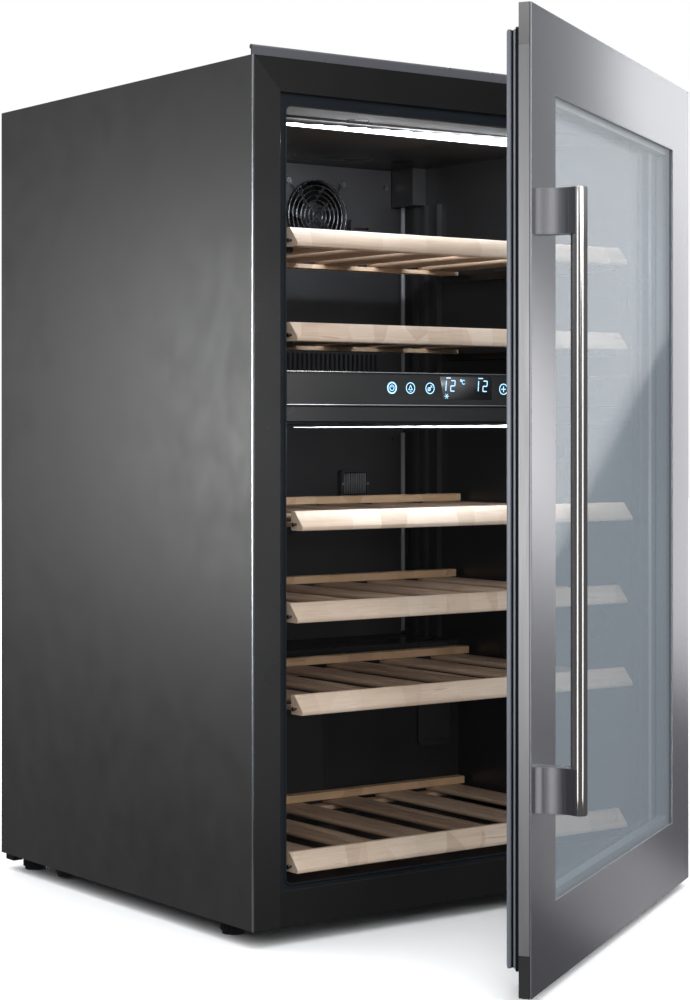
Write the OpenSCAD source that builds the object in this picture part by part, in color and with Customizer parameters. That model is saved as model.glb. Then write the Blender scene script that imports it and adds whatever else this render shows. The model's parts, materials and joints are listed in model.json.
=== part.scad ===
// Built-in dual-zone wine cooler with a glass door on the right, millimetres.
// Cabinet coordinates: X to the right, Y to the back from the fascia's front face,
// Z up from the cabinet's underside. at_cabinet() moves them to the part's own frame,
// whose origin is on the floor, midway between the four levelling feet.
// Door pieces are drawn closed and turned about the hinge axis by in_door().

/* [Cabinet] */
// Width of the cabinet body
cab_w = 558; // [540:1:580]
// Height of the cabinet body, without feet and top strip
cab_h = 864; // [855:1:880]
// Depth of the cabinet body behind the fascia's front face
cab_d = 524; // [500:1:560]
// Height of the feet under the cabinet
foot_h = 18; // [16:1:22]
// Thickness of the outer steel sheet
sheet_t = 1.2; // [0.8:0.1:1.5]

/* [Front frame] */
// Depth of the black fascia frame
fascia_t = 6; // [4:0.5:8]
// Width of the fascia's two upright stiles
stile_w = 33.5; // [28:0.5:36]
// Height of the fascia's top rail
top_rail_h = 33.4; // [28:0.2:36]
// Height of the fascia's bottom rail
bottom_rail_h = 35.8; // [30:0.2:38]
// Height of the metal strip along the top front edge
strip_h = 10.4; // [8:0.2:12]
// Depth of the metal strip along the top front edge
strip_d = 23; // [18:1:30]

/* [Compartments] */
// Underside of the divider, above the cabinet's underside
divider_z0 = 500; // [495:1:502]
// Top of the divider
divider_z1 = 553; // [551:1:556]
// Inside face of the back covers, behind the fascia's front face
back_y = 405; // [400:1:410]
// Top of the step over the compressor
hump_z = 238; // [236:1:240]
// Front of the step over the compressor
hump_y = 300; // [298:1:302]

/* [Shelves] */
// Length of a shelf's front board
shelf_w = 450; // [440:1:452]
// Height of a shelf's front board
board_h = 19.5; // [18:0.5:20]
// How far a shelf's slanted front face leans back
board_slope = 13.5; // [10:0.5:15]
// Number of slats in a shelf
slat_n = 6; // [4:1:6]
// Distance between slats
slat_pitch = 77; // [70:1:80]
// Width of a slat
slat_w = 42; // [34:1:48]
// How far the two forward shelves stand out of line
forward = 8.5; // [0:0.5:8.5]

/* [Door] */
// Width of the door
door_w = 590; // [586:1:594]
// Height of the door
door_h = 885; // [880:0.5:885]
// How far the door stands open at rest, in degrees
door_open = 31.47; // [0:0.01:90]
// Thickness of the flat steel and aluminium front of the door
slab_t = 12; // [10:0.5:12]
// Whole thickness of the door, gasket included
door_t = 34.7; // [34:0.1:35]
// Width of the steel border around the window
border = 74; // [68:1:76]
// Diameter of the handle bar
bar_d = 15; // [12:0.5:16]
// Distance from the door's steel front to the handle bar's axis
bar_out = 38.4; // [34:0.2:42]

/* [Hidden] */
$fn = 64;

// feet and the frame's origin
foot_x = 30;
foot_front_y = 79;
foot_rear_y = 497;
origin_y = (foot_front_y + foot_rear_y) / 2;
foot_r = 14;
pad_r = 12;
stud_r = 5;
boss_r = 9;
boss_h = 13;

// front frame and liner openings
trim_t = 1.5;
mid_x = cab_w / 2;
mouth = [44, 41.5, 514, 817];
mouth_r = 6;
flange_t = 3;
liner_y0 = fascia_t + flange_t;
liner_t = 2;
liner_back_y = 450;
taper = 12;
bulge = [484, 362, 772];
foam_z0 = 18;
bay_y0 = hump_y + 22;
bay_z1 = hump_z - 18;
cover_t = 2;

// fans
fan_x = 366;
fan_z = 755;
fan_low_x = 250;
fan_low_z = 345;
fan_hole_r = 43;
fan_size = 92;
fan_depth = 25;
fan_screws = 82.5;
impeller_r = 40;
hub_r = 17;
blade_n = 7;
upper_screws = [[475, 796], [90, 796], [90, 610], [475, 610]];
lower_screws = [[488, 481], [90, 481], [90, 262], [488, 262]];
guard_screws = [
    for (i = [-1, 1], j = [-1, 1]) [fan_x + i * fan_screws / 2, fan_z + j * fan_screws / 2]
];

// control panel
glass_z0 = 520.5;
glass_z1 = 552;
icon_z = 537.5;
panel_mid_x = 277;
icon_x = [50.3, 76.1, 100.4];

// shelf levels, from the underside of the front boards
shelf_z = [678, 583, 393.5, 301, 209.5, 51];
shelf_out = [0, 0, forward, 0, forward, 0];
rail_y = [296, 296, 296, 296, 280, 280];
rail_t = 14;
lip_h = 4;
ledge_z = 3;
slat_z = 8;
slat_t = 6;
rail_top = 23;
shelf_x0 = mid_x - shelf_w / 2;
runner_x = mouth[0] + 24;
rack_x0 = shelf_x0 + 4;
rack_x1 = shelf_x0 + shelf_w - 4;

// door, closed
door_x0 = mid_x - door_w / 2;
door_x1 = mid_x + door_w / 2;
door_z0 = -10.5;
door_z1 = door_z0 + door_h;
front_y = -35;
skin_t = 2;
slab_y = front_y + slab_t;
pane_t = 4;
outer_pane_y = front_y + skin_t;
inner_pane_y = -18;
pane_back_y = inner_pane_y + pane_t;
lip_y = pane_back_y + 3;
gasket_y = front_y + door_t;
window = [door_x0 + border, door_z0 + border, door_x1 - border, door_z1 - border];
pane_edge = 8;
core = [door_x0 + 28, door_z0 + 16, door_x1 - 28, door_z1 - 16];
seal = [door_x0 + 34, door_z0 + 17, door_x1 - 34, door_z1 - 17];
seal_w = 14;
pivot_x = 550.5;
pivot_y = -18.5;
pin_r = 3;
pin_l = cab_h - core[3] - 0.3;
rail_x = 20;
bracket_x0 = 512;
bracket_x1 = 552.5;
bracket_t = 3;
bracket_screw_x = [520, 541];
bracket_screw_y = 34;
bush_r = 4.4;
relief_x = door_x1 - 7;
relief_y = front_y + 5;
cap_h = 38;
profile_w = 25;
wall_t = 1.6;
bar_u = 18;
bar_z0 = door_z0 + 163;
bar_z1 = door_z0 + 721;
post_h = 41;
post_z = [door_z0 + 164, door_z0 + 679];

// ---- places ----

module at_cabinet() {
    translate([-mid_x, -origin_y, foot_h]) children();
}

module in_door() {
    at_cabinet()
        translate([pivot_x, pivot_y, 0])
            rotate([0, 0, door_open])
                translate([-pivot_x, -pivot_y, 0])
                    children();
}

module at_shelf(i) {
    at_cabinet() translate([0, -shelf_out[i], shelf_z[i]]) children();
}

// ---- shapes that repeat ----

// a box between two corners
module block(a, b) {
    translate(a) cube(b - a);
}

// a flat outline in X and Z, made solid from y0 to y1
module upright(y0, y1) {
    translate([0, y1, 0]) rotate([90, 0, 0]) linear_extrude(y1 - y0) children();
}

// a side outline in Y and Z, made solid from x0 to x1
module sideways(x0, x1) {
    translate([x0, 0, 0]) rotate([90, 0, 90]) linear_extrude(x1 - x0) children();
}

// a rectangle [x0, z0, x1, z1] with corners of radius r
module rounded(b, r) {
    translate([b[0] + r, b[1]]) square([b[2] - b[0] - 2 * r, b[3] - b[1]]);
    translate([b[0], b[1] + r]) square([b[2] - b[0], b[3] - b[1] - 2 * r]);
    for (x = [b[0] + r, b[2] - r], z = [b[1] + r, b[3] - r])
        translate([x, z]) circle(r);
}

// the inside face of the left wall of the liner at depth y
function wall_x(y) = mouth[0] + taper * (y - liner_y0) / (liner_back_y - liner_y0);

function grown(b, d) = [b[0] - d, b[1] - d, b[2] + d, b[3] + d];

// a flat frame between two rounded rectangles
module ring_plate(outer, outer_r, inner, inner_r, y0, y1) {
    upright(y0, y1)
        difference() {
            rounded(outer, outer_r);
            rounded(inner, inner_r);
        }
}

// a cylinder along Y
module rod_y(x, z, r, y0, y1) {
    translate([x, y1, z]) rotate([90, 0, 0]) cylinder(h = y1 - y0, r = r);
}

// a pan-head screw whose head faces the front, its head's back at y
module screw_y(x, z, y, head_r = 3.6) {
    difference() {
        union() {
            rod_y(x, z, head_r, y - 2, y);
            rod_y(x, z, 1.8, y, y + 10);
        }
        block([x - 2.2, y - 2.5, z - 0.5], [x + 2.2, y - 1.2, z + 0.5]);
        block([x - 0.5, y - 2.5, z - 2.2], [x + 0.5, y - 1.2, z + 2.2]);
    }
}

// the plan of the inside of the liner, narrowing towards the back
module liner_plan(grow, z0, z1) {
    translate([0, 0, z0])
        linear_extrude(z1 - z0)
            polygon([
                [mouth[0] - grow, liner_y0],
                [mouth[2] + grow, liner_y0],
                [mouth[2] - taper + grow, liner_back_y + grow],
                [mouth[0] + taper - grow, liner_back_y + grow],
            ]);
}

// ---- outer shell ----

module side_sheet() {
    block([0, trim_t, 0], [sheet_t, cab_d, cab_h]);
    block([sheet_t, cab_d - sheet_t, 2], [14, cab_d, cab_h - 2]);
}

module side_panel_left() {
    color("#4a4846") side_sheet();
}

module side_panel_right() {
    color("#4a4846") translate([cab_w, 0, 0]) mirror([1, 0, 0]) side_sheet();
}

module top_panel() {
    color("#3c3a38")
        block([sheet_t, fascia_t, cab_h - sheet_t], [cab_w - sheet_t, cab_d - sheet_t, cab_h]);
}

// flat back sheet with a lower opening covered by slots over the compressor bay
module back_panel() {
    color("#55565a")
        difference() {
            block([14.2, cab_d - 1, 2], [cab_w - 14.2, cab_d, cab_h - 2]);
            for (i = [0:18])
                upright(cab_d - 2, cab_d + 1)
                    rounded([60 + i * 24, 60, 70 + i * 24, 190], 4);
            upright(cab_d - 2, cab_d + 1) rounded([366, 12, 414, 42], 3);
        }
}

// stamped steel tray with the threaded bosses of the feet and rubber pads below
module base_tray() {
    color("#2a2a2c") {
        difference() {
            union() {
                block([sheet_t, fascia_t, 0], [cab_w - sheet_t, cab_d - sheet_t, 1.5]);
                for (x = [foot_x, cab_w - foot_x], y = [foot_front_y, foot_rear_y])
                    translate([x, y, 0]) cylinder(h = boss_h, r = boss_r);
            }
            for (x = [foot_x, cab_w - foot_x], y = [foot_front_y, foot_rear_y])
                translate([x, y, -1]) cylinder(h = boss_h + 2, r = stud_r + 0.05);
        }
        for (x = [foot_x, cab_w - foot_x])
            translate([x, 424, -15]) cylinder(h = 15, r1 = 10, r2 = 13);
        for (x = [3, cab_w - 15])
            block([x, 500, -7], [x + 12, 518, 0]);
    }
}

// ---- black front frame ----

module mitred_side(a, b) {
    upright(0, fascia_t)
        polygon([
            [trim_t, 0], [a, b[0]], [a, b[1]], [trim_t, cab_h],
        ]);
}

module fascia_frame() {
    z0 = bottom_rail_h;
    z1 = cab_h - top_rail_h;
    color("#0b0b0d") {
        mitred_side(stile_w, [z0, z1]);
        translate([cab_w, 0, 0]) mirror([1, 0, 0]) mitred_side(stile_w, [z0, z1]);
        upright(0, fascia_t)
            polygon([
                [trim_t, cab_h], [stile_w, z1], [cab_w - stile_w, z1], [cab_w - trim_t, cab_h],
            ]);
        upright(0, fascia_t)
            polygon([
                [trim_t, 0], [cab_w - trim_t, 0], [cab_w - stile_w, z0], [stile_w, z0],
            ]);
    }
}

// thin bright strips on the two upright front edges
module edge_trims() {
    color("#a9abad")
        for (x = [0, cab_w - trim_t])
            block([x, 0, 0], [x + trim_t, trim_t, cab_h]);
}

// thin rounded metal strip along the top front edge, on a rail that takes the niche's screws
module top_trim_strip() {
    z1 = cab_h + strip_h;
    r = 2.4;
    color("#8d8f92")
        difference() {
            union() {
                block([0, 1, cab_h], [cab_w, 1 + r, z1 - r]);
                translate([0, 1 + r, z1 - r]) rotate([0, 90, 0]) cylinder(h = cab_w, r = r);
                block([rail_x, 1 + r, cab_h], [cab_w - rail_x, 1 + strip_d, z1]);
            }
            for (x = [55, cab_w - 55])
                translate([x, 1 + strip_d / 2, cab_h - 1]) cylinder(h = strip_h + 2, r = 2.25);
            for (x = [250, cab_w - 250])
                block([x - 2, 0, z1 - 2], [x + 2, 10, z1 + 1]);
            block([bracket_x0 - 4, 0, cab_h - 1], [cab_w + 1, 30, cab_h + bracket_t + 0.6]);
        }
}

// ---- liner ----

// recessed plastic frame around the mouth of the cabinet
module liner_flange() {
    outer = [12, 12, cab_w - 12, cab_h - 12];
    color("#3b4149") {
        ring_plate(outer, 0.4, mouth, mouth_r, fascia_t, fascia_t + flange_t);
        ring_plate(grown(mouth, 1.5), mouth_r + 1.5, mouth, mouth_r, fascia_t - 1.5, fascia_t);
    }
}

module liner_upper() {
    z0 = divider_z1;
    z1 = 818;
    color("#1a1b1d") {
        difference() {
            liner_plan(liner_t, z0 - liner_t, z1 + liner_t);
            difference() {
                translate([0, -1, 0]) liner_plan(0, z0, z1);
                translate(bulge) cube([60, 100, 60]);
            }
        }
        // upright ribs on the right wall
        for (y = [331, 356, 375])
            block([498, y, z0], [505.5, y + 5, bulge[2]]);
    }
}

module liner_lower() {
    z0 = mouth[1];
    z1 = divider_z0;
    color("#1a1b1d") {
        difference() {
            liner_plan(liner_t, z0 - liner_t, z1 + liner_t);
            translate([0, -1, 0]) liner_plan(0, z0, z1);
            block([0, hump_y + liner_t, 0], [cab_w, cab_d, hump_z - liner_t]);
        }
        intersection() {
            liner_plan(0, z0, z1);
            union() {
                block([0, hump_y, z0], [cab_w, hump_y + liner_t, hump_z]);
                block([0, hump_y, hump_z - liner_t], [cab_w, liner_back_y, hump_z]);
            }
        }
        // upright ribs on the right wall
        for (y = [331, 356, 375])
            block([498, y, hump_z], [505.5, y + 5, z1]);
    }
}

// foam that fills the walls around the two liners
module insulation() {
    color("#d8c89a")
        difference() {
            block(
                [sheet_t, liner_y0, foam_z0],
                [cab_w - sheet_t, cab_d - sheet_t, cab_h - sheet_t]
            );
            liner_plan(liner_t, divider_z1 - liner_t, 818 + liner_t);
            difference() {
                liner_plan(liner_t, mouth[1] - liner_t, divider_z0 + liner_t);
                block(
                    [0, hump_y + liner_t, 0],
                    [cab_w, cab_d, hump_z - liner_t]
                );
            }
            block([0, bay_y0, 0], [cab_w, cab_d, bay_z1]);
            block([40, liner_y0 - 1, divider_z0], [cab_w - 40, 60, divider_z1]);
        }
}

// ---- back covers and what they hold ----

// a back cover from z0 to z1, just inside the liner, with holes for its screws
module cover_sheet(z0, z1, holes) {
    x = wall_x(back_y) + 1;
    difference() {
        block([x, back_y, z0], [cab_w - x, back_y + cover_t, z1]);
        for (p = holes)
            rod_y(p[0], p[1], 1.9, back_y - 1, back_y + 5);
    }
}

module duct_cover_upper() {
    color("#26272a")
        difference() {
            cover_sheet(divider_z1 + 0.3, 817.5, concat(upper_screws, guard_screws));
            rod_y(fan_x, fan_z, fan_hole_r, back_y - 1, back_y + 5);
            block([bulge[0] - 1, back_y - 1, bulge[2] - 1], [510, back_y + 5, 820]);
            // louvre of upright slots along the foot of the cover
            for (i = [0:51])
                block(
                    [100 + i * 7, back_y - 1, divider_z1 + 6],
                    [103.5 + i * 7, back_y + 5, divider_z1 + 34]
                );
        }
}

module duct_cover_lower() {
    color("#26272a")
        difference() {
            cover_sheet(hump_z + 0.3, divider_z0 - 0.3, lower_screws);
            upright(back_y - 1, back_y + 5) rounded([404, 414, 438, 440], 3);
            // inlet slots in front of the lower fan
            for (i = [-5:5])
                block(
                    [fan_low_x - 34, back_y - 1, fan_low_z + i * 6 - 1.5],
                    [fan_low_x + 34, back_y + 5, fan_low_z + i * 6 + 1.5]
                );
        }
}

// moulded covers on the front of the step over the compressor
module hump_cover() {
    color("#202124") {
        upright(hump_y - 2, hump_y) {
            translate([110, 58]) square([198, 120]);
            translate([209, 178]) square([99, 37]);
            translate([147, 178]) circle(37);
            translate([147, 178]) square([80, 37]);
        }
        upright(hump_y - 4.5, hump_y) rounded([441, 113, 489, 236], 8);
    }
}

// two fan housings behind the back covers
module fan_housing(x, z, y) {
    half = fan_size / 2;
    hole = fan_screws / 2;
    difference() {
        upright(y, y + fan_depth) rounded([x - half, z - half, x + half, z + half], 5);
        rod_y(x, z, impeller_r + 2.5, y - 1, y + fan_depth - 3);
        for (i = [0:3])
            rotate_about_y(x, z, 45 + i * 90)
                upright(y + fan_depth - 4, y + fan_depth + 1)
                    rounded([x + hub_r + 4, z - 20, x + impeller_r, z + 20], 6);
        for (i = [-1, 1], j = [-1, 1])
            rod_y(x + i * hole, z + j * hole, 2.15, y - 1, y + fan_depth + 1);
    }
    rod_y(x, z, 2.4, y + 6, y + fan_depth - 3);
}

module rotate_about_y(x, z, angle) {
    translate([x, 0, z]) rotate([0, angle, 0]) translate([-x, 0, -z]) children();
}

module fan_frames() {
    color("#17181a") {
        fan_housing(fan_x, fan_z, back_y + cover_t);
        fan_housing(fan_low_x, fan_low_z, back_y + cover_t);
    }
}

// wire rings and four arms in front of the upper fan
module fan_guard() {
    y = back_y - 5;
    wire = 0.9;
    color("#b9bcc0")
        translate([fan_x, y, fan_z])
            rotate([90, 0, 0]) {
                for (r = [7:6:43])
                    rotate_extrude() translate([r, 0]) circle(wire, $fn = 16);
                for (a = [45:90:315])
                    rotate([0, 0, a]) {
                        translate([0, 0, -1.2]) rotate([0, 90, 0]) cylinder(h = 54, r = wire);
                        translate([fan_screws / sqrt(2), 0, -4.9])
                            difference() {
                                cylinder(h = 1.6, r = 5);
                                translate([0, 0, -1]) cylinder(h = 4, r = 2.1);
                            }
                        translate([53.2, 0, -4]) cylinder(h = 3, r = 1.2);
                    }
            }
}

// hub and seven pitched blades turning on the fan's spindle
module impeller(x, z) {
    y = back_y + cover_t;
    difference() {
        rod_y(x, z, hub_r, y + 1.5, y + fan_depth - 5);
        rod_y(x, z, 2.45, y + 5.5, y + fan_depth);
    }
    for (i = [0:blade_n - 1])
        intersection() {
            difference() {
                rod_y(x, z, impeller_r, y + 2.5, y + fan_depth - 6);
                rod_y(x, z, hub_r - 1, y, y + fan_depth);
            }
            translate([x, y + 10, z])
                rotate([0, i * 360 / blade_n, 0])
                    rotate([38, 0, 0])
                        translate([hub_r - 2, -1, -14])
                            cube([impeller_r, 2, 28]);
        }
}

module fan_impeller_upper() {
    color("#2b2c30") impeller(fan_x, fan_z);
}

module fan_impeller_lower() {
    color("#2b2c30") impeller(fan_low_x, fan_low_z);
}

// slotted cap over the air temperature sensor
module sensor_housing() {
    b = [414, 715, 446, 753];
    color("#232427")
        difference() {
            upright(back_y - 9, back_y) rounded(b, 5);
            upright(back_y - 7.5, back_y + 1) rounded(grown(b, -2), 3);
            for (i = [0:4])
                block([b[0] + 5, back_y - 10, 721 + i * 5], [b[2] - 5, back_y - 7, 723.4 + i * 5]);
        }
}

// rounded outlet with upright fins in the lower compartment
module vent_grille() {
    b = [400, 410, 442, 444];
    color("#1f2023") {
        difference() {
            upright(back_y - 8, back_y) rounded(b, 4);
            upright(back_y - 9, back_y + 1) rounded(grown(b, -2.5), 2.5);
        }
        for (i = [1:6])
            block([b[0] + i * 6 - 0.8, back_y - 6, b[1] + 2], [b[0] + i * 6 + 0.8, back_y, b[3] - 2]);
    }
}

// screws of the covers, the fan guard and the hinge brackets
module screws() {
    color("#c9cbcd") {
        for (p = concat(upper_screws, lower_screws))
            screw_y(p[0], p[1], back_y);
        for (p = guard_screws)
            screw_y(p[0], p[1], back_y - 1.7);
        for (x = bracket_screw_x, z = [cab_h + bracket_t, -bracket_t - 2])
            translate([x, bracket_screw_y, z]) cylinder(h = 2, r = 3.6);
    }
}

// tube-and-fin coils behind the two back covers
module evaporators() {
    color("#b8b6b0")
        for (z = [[590, 690], [260, 292]]) {
            for (i = [0:23])
                block([100 + i * 14, 432, z[0]], [101 + i * 14, 447, z[1]]);
            for (h = [z[0] + 8 : 24 : z[1] - 6])
                translate([94, 439.5, h]) rotate([0, 90, 0]) cylinder(h = 336, r = 4);
        }
}

// ---- divider and controls ----

module divider_housing() {
    z0 = divider_z0 + 1;
    z1 = divider_z1;
    color("#111214") {
        // front with a raised lower band and a bright lip along the top
        difference() {
            block([mouth[0] + 0.3, 7, z0], [mouth[2] - 0.3, 9, z1]);
            block([100, 6, glass_z0 + 3], [458, 10, glass_z1 - 3]);
        }
        block([mouth[0] + 0.3, 5, 503], [mouth[2] - 0.3, 7, 517]);
        block([mouth[0] + 0.3, 4, z1 - 1], [mouth[2] - 0.3, 7, z1]);
        // tray behind the front
        difference() {
            block([mouth[0] + 0.3, 9, divider_z0 + 2.3], [mouth[2] - 0.3, 58, z1 - 2.3]);
            block([mouth[0] + 3, 8, divider_z0 + 5], [mouth[2] - 3, 56, z1 - 5]);
        }
        // circuit board carrier
        block([150, 12, 510], [400, 13.6, 546]);
        for (x = [150, 396])
            block([x, 13.6, 520], [x + 4, 56, 530]);
    }
}

module control_glass() {
    color("#050507")
        block([mouth[0] + 0.8, 5, glass_z0], [mouth[2] - 0.8, 7, glass_z1]);
}

// smoked display window and the six touch symbols beside it
module display() {
    color("#2c6fae") {
        upright(4.6, 5) rounded([panel_mid_x - 34, 526, panel_mid_x + 34, 549.5], 1);
        for (d = icon_x, s = [-1, 1])
            difference() {
                rod_y(panel_mid_x + s * d, icon_z, 6, 4.6, 5);
                rod_y(panel_mid_x + s * d, icon_z, 4.6, 4, 6);
            }
    }
}

// light strips at the front of each compartment's ceiling
module led_bars() {
    color("#eef4ff") {
        sideways(70, 488)
            polygon([[62, 818], [66, 813.5], [88, 813.5], [92, 818]]);
        sideways(60, 498)
            polygon([[14, 500], [16, 496.5], [28, 496.5], [30, 500]]);
    }
}

// ---- machinery in the bay under the step ----

module compressor() {
    color("#1c1c1e")
        translate([150, 425, 1.5]) {
            for (x = [-62, 62], y = [-42, 42])
                translate([x, y, 0]) cylinder(h = 14, r = 11);
            translate([-78, -56, 14]) cube([156, 112, 3]);
            translate([0, 0, 17]) cylinder(h = 22, r1 = 52, r2 = 70);
            translate([0, 0, 39]) cylinder(h = 70, r = 70);
            translate([0, 0, 109]) cylinder(h = 38, r1 = 70, r2 = 40);
            translate([0, 0, 147]) cylinder(h = 6, r = 40);
            translate([68, -22, 60]) cube([34, 44, 50]);
        }
}

// wire-on-tube condenser standing beside the compressor
module condenser_coil() {
    color("#222224") {
        for (i = [0:5])
            translate([290, 345, 30 + i * 30]) rotate([0, 90, 0]) cylinder(h = 160, r = 3);
        for (i = [0:19])
            block([294 + i * 8, 341, 20], [295.4 + i * 8, 342.4, 190]);
        for (x = [290, 448])
            block([x - 3, 340, 1.5], [x, 350, 200]);
    }
}

// tray on the compressor's crown that catches the melt water
module drip_tray() {
    color("#3a3b3d")
        difference() {
            block([90, 365, 154.6], [210, 485, 184]);
            block([92, 367, 156.6], [208, 483, 190]);
        }
}

// control electronics with the mains inlet in the back
module power_box() {
    color("#2f3033") {
        difference() {
            block([350, 440, 8], [430, 522.8, 74]);
            block([352, 442, 10], [428, 520, 72]);
            block([376, 515, 15], [404, 524, 39]);
        }
        block([346, 470, 1.5], [434, 500, 8]);
        for (x = [382, 390, 398])
            block([x - 1, 508, 22], [x + 1, 519, 28]);
        block([378, 505, 12], [402, 508, 37]);
        block([378, 500, 8], [402, 508, 12]);
    }
}

// ---- shelf runners ----

module shelf_runners() {
    top = ledge_z - 0.3;
    color("#1d1e20")
        for (i = [0:5], s = [0, 1])
            translate([s * cab_w, 0, shelf_z[i] + top])
                mirror([s, 0, 0])
                    translate([0, 0, -8])
                        linear_extrude(8)
                            polygon([
                                [wall_x(28) + 0.1, 28],
                                [runner_x, 28],
                                [runner_x, rail_y[i] + 12],
                                [wall_x(rail_y[i] + 12) + 0.1, rail_y[i] + 12],
                            ]);
}

// ---- hinges ----

// cabinet side of a hinge: a plate on the cabinet and a pin towards the door
module hinge_bracket() {
    difference() {
        union() {
            block([bracket_x0, 8, 0], [bracket_x1, 44, bracket_t]);
            block([524, -14, 0], [bracket_x1, 8, bracket_t]);
            block([530, pivot_y, 0], [bracket_x1, -14, bracket_t]);
            translate([pivot_x, pivot_y, 0]) cylinder(h = bracket_t, r = 4);
            translate([pivot_x, pivot_y, -pin_l]) cylinder(h = pin_l + 1, r = pin_r);
        }
        for (x = bracket_screw_x)
            translate([x, bracket_screw_y, -1]) cylinder(h = 5, r = 2.2);
    }
}

module hinge_brackets() {
    color("#77797c") {
        translate([0, 0, cab_h]) hinge_bracket();
        mirror([0, 0, 1]) hinge_bracket();
    }
}

// door side of a hinge: a plate on the inner frame with a bush for the pin
module door_hinge_plate() {
    difference() {
        union() {
            block([470, slab_y + 0.2, 0], [pivot_x, -12, 3]);
            translate([pivot_x, pivot_y, 0]) cylinder(h = 4.4, r = bush_r);
        }
        translate([pivot_x, pivot_y, -1]) cylinder(h = 8, r = pin_r + 0.05);
    }
}

module door_hinge_plates() {
    color("#8b8d90") {
        translate([0, 0, core[3]]) door_hinge_plate();
        translate([0, 0, core[1]]) mirror([0, 0, 1]) door_hinge_plate();
    }
}

// ---- feet ----

// ribbed plastic levelling foot on a steel stud
module foot(side, y) {
    x = side > 0 ? cab_w - foot_x : foot_x;
    color("#1e1e20")
        at_cabinet()
            translate([x, y, -foot_h]) {
                cylinder(h = 4, r = pad_r);
                difference() {
                    translate([0, 0, 4]) cylinder(h = foot_h - 4.3, r = foot_r);
                    for (i = [0:17])
                        rotate([0, 0, i * 20])
                            translate([foot_r + 0.4, 0, 6])
                                cylinder(h = foot_h, r = 1.4, $fn = 16);
                }
                translate([0, 0, foot_h - 1]) cylinder(h = boss_h, r = stud_r);
            }
}

// ---- door ----

module door_skin() {
    color("#8f9196")
        in_door()
            difference() {
                block([door_x0, front_y, door_z0], [door_x1, front_y + skin_t, door_z1]);
                upright(front_y - 1, front_y + 3) rounded(window, 1);
            }
}

// an edge profile along Z: an outer wall and a web behind the steel
module profile_leg(x, z0, z1, side) {
    translate([x, 0, 0])
        mirror([side > 0 ? 1 : 0, 0, 0]) {
            block([0, front_y + skin_t, z0], [wall_t, slab_y, z1]);
            block([wall_t, slab_y - wall_t, z0], [profile_w, slab_y, z1]);
        }
}

module door_edge_profile() {
    color("#b9bbbe")
        in_door() {
            difference() {
                union() {
                    profile_leg(door_x0, door_z0 + cap_h, door_z1 - cap_h, -1);
                    profile_leg(door_x1, door_z0 + cap_h, door_z1 - cap_h, 1);
                }
                block([relief_x, relief_y, door_z0 - 1], [door_x1 + 1, 0, door_z1 + 1]);
            }
            for (z = [door_z0, door_z1 - wall_t])
                block(
                    [door_x0 + profile_w, front_y + skin_t, z],
                    [door_x1 - profile_w, slab_y, z + wall_t]
                );
            // the hinge side closes again inside the relief
            block(
                [relief_x - wall_t, relief_y, door_z0 + cap_h],
                [relief_x, slab_y - wall_t, door_z1 - cap_h]
            );
        }
}

// moulded corner caps between the edge profiles
module door_end_caps() {
    color("#2d2d30")
        in_door()
            difference() {
                for (z = [door_z0, door_z1 - cap_h])
                    for (x = [door_x0, door_x1 - profile_w])
                        difference() {
                            block([x, front_y + skin_t, z], [x + profile_w, slab_y, z + cap_h]);
                            block(
                                [x + 3, front_y + 3.5, z + 3],
                                [x + profile_w - 3, slab_y + 1, z + cap_h - 3]
                            );
                        }
                block([relief_x, relief_y, door_z0 - 1], [door_x1 + 1, 0, door_z1 + 1]);
            }
}

module pane(y, clearance = 0) {
    upright(y, y + pane_t) rounded(grown(window, pane_edge - clearance), 2);
}

module door_glass_outer() {
    color([0.62, 0.7, 0.76, 0.4]) in_door() pane(outer_pane_y);
}

module door_glass_inner() {
    color([0.62, 0.7, 0.76, 0.4]) in_door() pane(inner_pane_y);
}

// aluminium bar that keeps the two panes apart
module glazing_spacer() {
    color("#9a9da1")
        in_door()
            ring_plate(
                grown(window, pane_edge - 0.5), 1.5, grown(window, -6), 2,
                outer_pane_y + pane_t, inner_pane_y
            );
}

// moulded frame that holds the glazing and the gasket
module door_inner_frame() {
    seat = grown(window, pane_edge + 0.3);
    color("#131416")
        in_door() {
            ring_plate(core, 3, seat, 2, slab_y, pane_back_y);
            ring_plate(core, 3, window, 2, pane_back_y, lip_y);
            ring_plate(core, 3, seat, 2, front_y + skin_t, slab_y);
        }
}

// magnetic gasket: a foot and a sealing bead with a deep fold between them
module door_gasket() {
    steps = [[0, 0], [2.5, 4.3], [0, 6.1]];
    ends = [4.3, 6.1, gasket_y - lip_y];
    color("#3f4247")
        in_door()
            for (i = [0:2])
                ring_plate(
                    grown(seal, -steps[i][0]), 3, grown(seal, steps[i][0] - seal_w), 2,
                    lip_y + steps[i][1], lip_y + ends[i]
                );
}

// ---- handle ----

module handle_bar() {
    color("#c9c9cb")
        in_door()
            translate([door_x0 + bar_u, front_y - bar_out, bar_z0])
                cylinder(h = bar_z1 - bar_z0, r = bar_d / 2);
}

// blocks with a hollowed side that carry the bar, and the screws that hold them
module handle_posts() {
    x0 = door_x0 + 8;
    color("#4b4b50")
        in_door()
            for (z = post_z) {
                difference() {
                    block([x0, front_y - bar_out, z], [x0 + 20, front_y, z + post_h]);
                    translate([x0 - 43.9, front_y - 22, z - 1])
                        cylinder(h = post_h + 2, r = 46.9);
                    translate([door_x0 + bar_u, front_y - bar_out, z - 1])
                        cylinder(h = post_h + 2, r = bar_d / 2);
                }
                for (dz = [10, post_h - 10])
                    rod_y(x0 + 10, z + dz, 4, front_y + skin_t, front_y + skin_t + 3);
            }
}

// ---- shelves ----

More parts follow.
